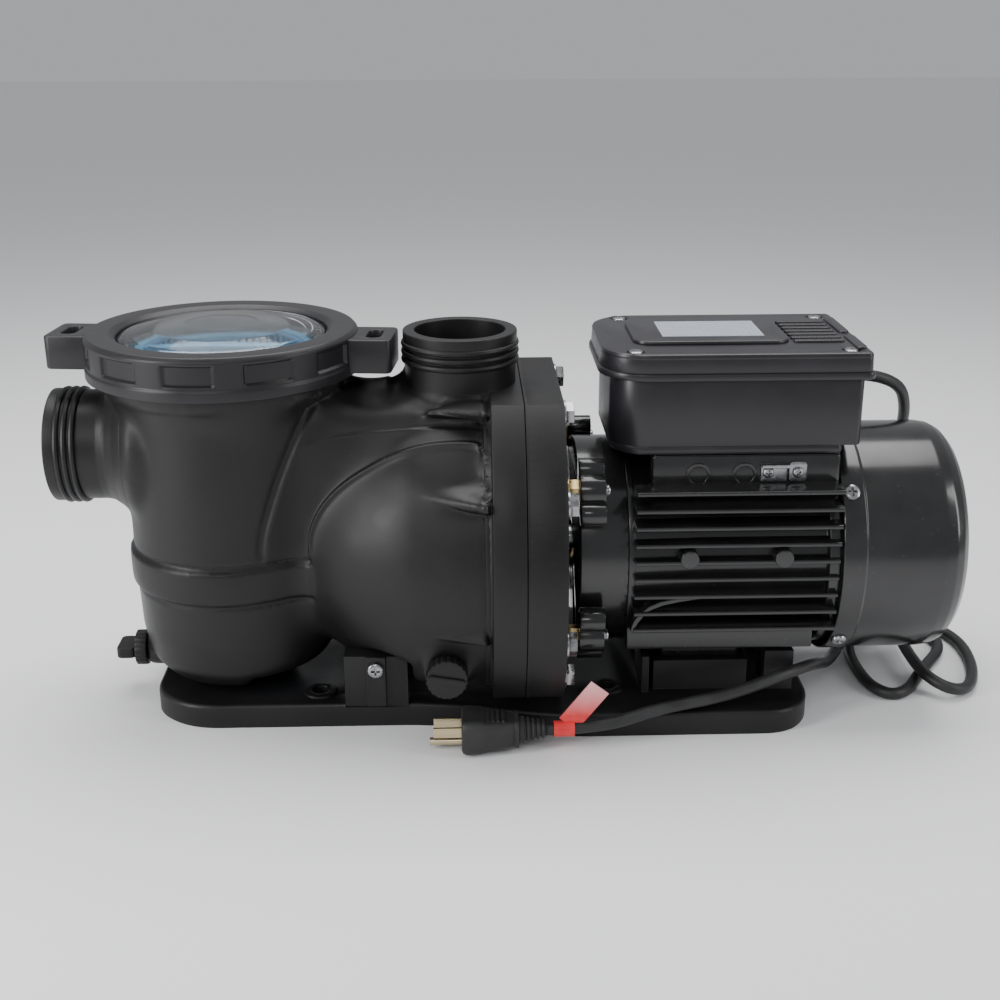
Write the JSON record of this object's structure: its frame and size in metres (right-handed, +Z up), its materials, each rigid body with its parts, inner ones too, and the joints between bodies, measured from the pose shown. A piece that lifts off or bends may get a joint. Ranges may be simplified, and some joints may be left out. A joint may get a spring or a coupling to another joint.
{
  "type": "pool pump",
  "caption": "Self-priming pool pump: strainer pot with clear lid and lock ring, upright outlet, finned motor, terminal box, base plate and mains cord.",
  "frame": {"origin": "floor level under the outlet, at the centre of the four base bolt holes", "axes": "+X along the shaft from the strainer to the motor, +Z up, so the front is -Y"},
  "size_m": [0.627, 0.2413, 0.2542],
  "materials": {
    "black_plastic": "moulded black, satin",
    "box_plastic": "moulded black, soft gloss",
    "clear_plastic": "clear polycarbonate",
    "blue_plastic": "pale blue moulding",
    "black_paint": "gloss black paint on cast aluminium",
    "bright_steel": "bright stainless",
    "brassy_steel": "yellow zinc plate",
    "shaft_steel": "ground steel",
    "core_steel": "stacked laminations",
    "cast_aluminium": "cast",
    "copper": "enamelled copper wire",
    "seal_rubber": "moulded",
    "seal_carbon": "lapped carbon",
    "seal_ceramic": "lapped white ceramic",
    "cord_rubber": "smooth PVC sheath",
    "prong_brass": "nickel-plated brass",
    "tag_paper": "printed wrap-round tag",
    "label_foil": "brushed foil label, blank"
  },
  "bodies": {
    "frame": {"base_plate": "black_plastic", "pump_body": "black_plastic", "seal_plate": "black_plastic", "diffuser": "black_plastic", "cord_gland": "black_plastic", "terminal_block": "black_plastic", "box_base": "box_plastic", "box_lid": "box_plastic", "capacitor": "box_plastic", "motor_bracket": "black_paint", "motor_housing": "black_paint", "rear_bell": "black_paint", "fan_cover": "black_paint", "foot_screws": "bright_steel", "cover_bolts": "bright_steel", "cover_washers": "bright_steel", "studs": "bright_steel", "pedestal_screws": "bright_steel", "fan_cover_screws": "bright_steel", "lid_screws": "bright_steel", "ground_clamp": "bright_steel", "ground_screws": "bright_steel", "wave_washer": "bright_steel", "stud_nuts": "brassy_steel", "front_bearing_outer": "shaft_steel", "rear_bearing_outer": "shaft_steel", "stator_core": "core_steel", "windings": "copper", "plate_o_ring": "seal_rubber", "box_gasket": "seal_rubber", "seal_seat": "seal_ceramic", "cord_upper": "cord_rubber", "cord_lower": "cord_rubber", "cord_hank": "cord_rubber", "strain_relief": "cord_rubber", "plug_body": "cord_rubber", "plug_prongs": "prong_brass", "cord_tag": "tag_paper", "rating_label": "label_foil"},
    "lid": {"clear_lid": "clear_plastic", "lid_o_ring": "seal_rubber"},
    "ring": {"lock_ring": "black_plastic"},
    "strainer": {"basket": "blue_plastic"},
    "front_drain_seal": {"front_drain_o_ring": "seal_rubber"},
    "front_drain": {"front_drain_plug": "black_plastic"},
    "left_drain_seal": {"left_drain_o_ring": "seal_rubber"},
    "left_drain": {"left_drain_plug": "black_plastic"},
    "rotor": {"shaft": "shaft_steel", "impeller": "black_plastic", "impeller_screw": "bright_steel", "seal_head": "seal_carbon", "seal_spring": "bright_steel", "front_bearing_inner": "shaft_steel", "rear_bearing_inner": "shaft_steel", "rotor_core": "core_steel", "rotor_end_rings": "cast_aluminium", "fan": "black_plastic", "fan_clip": "bright_steel"},
    "front_cage": {"front_bearing_balls": "shaft_steel"},
    "rear_cage": {"rear_bearing_balls": "shaft_steel"}
  },
  "joints": [
    {"name": "lid_lift", "type": "slide", "parent": "frame", "child": "lid", "axis": [0, 0, 1], "range_m": [0, 0.33]},
    {"name": "ring_turn", "type": "hinge", "parent": "lid", "child": "ring", "pos_m": [-0.1505, 0, 0.24], "axis": [0, 0, 1], "range_deg": [0, 60]},
    {"name": "basket_lift", "type": "slide", "parent": "frame", "child": "strainer", "axis": [0, 0, 1], "range_m": [0, 0.215]},
    {"name": "front_drain_turn", "type": "hinge", "parent": "front_drain_seal", "child": "front_drain", "pos_m": [-0.0105, -0.095, 0.052], "axis": [0, -1, 0], "range_deg": [0, 2900]},
    {"name": "front_drain_out", "type": "slide", "parent": "frame", "child": "front_drain_seal", "axis": [0, -1, 0], "range_m": [0, 0.016]},
    {"name": "left_drain_turn", "type": "hinge", "parent": "left_drain_seal", "child": "left_drain", "pos_m": [-0.215, 0, 0.028], "axis": [-1, 0, 0], "range_deg": [0, 2900]},
    {"name": "left_drain_out", "type": "slide", "parent": "frame", "child": "left_drain_seal", "axis": [-1, 0, 0], "range_m": [0, 0.012]},
    {"name": "rotor_spin", "type": "hinge", "parent": "frame", "child": "rotor", "pos_m": [0, 0, 0.105], "axis": [1, 0, 0], "continuous": true},
    {"name": "front_balls_spin", "type": "hinge", "parent": "frame", "child": "front_cage", "pos_m": [0.0866, 0, 0.105], "axis": [1, 0, 0], "continuous": true},
    {"name": "rear_balls_spin", "type": "hinge", "parent": "frame", "child": "rear_cage", "pos_m": [0.2465, 0, 0.105], "axis": [1, 0, 0], "continuous": true}
  ],
  "couplings": [
    {"joint": "basket_lift", "follows": "lid_lift", "ratio": 0.65},
    {"joint": "front_drain_turn", "follows": "front_drain_out", "rad_per_m": 3141.6},
    {"joint": "left_drain_turn", "follows": "left_drain_out", "rad_per_m": 4188.8},
    {"joint": "front_balls_spin", "follows": "rotor_spin", "ratio": 0.3818},
    {"joint": "rear_balls_spin", "follows": "rotor_spin", "ratio": 0.3812}
  ]
}
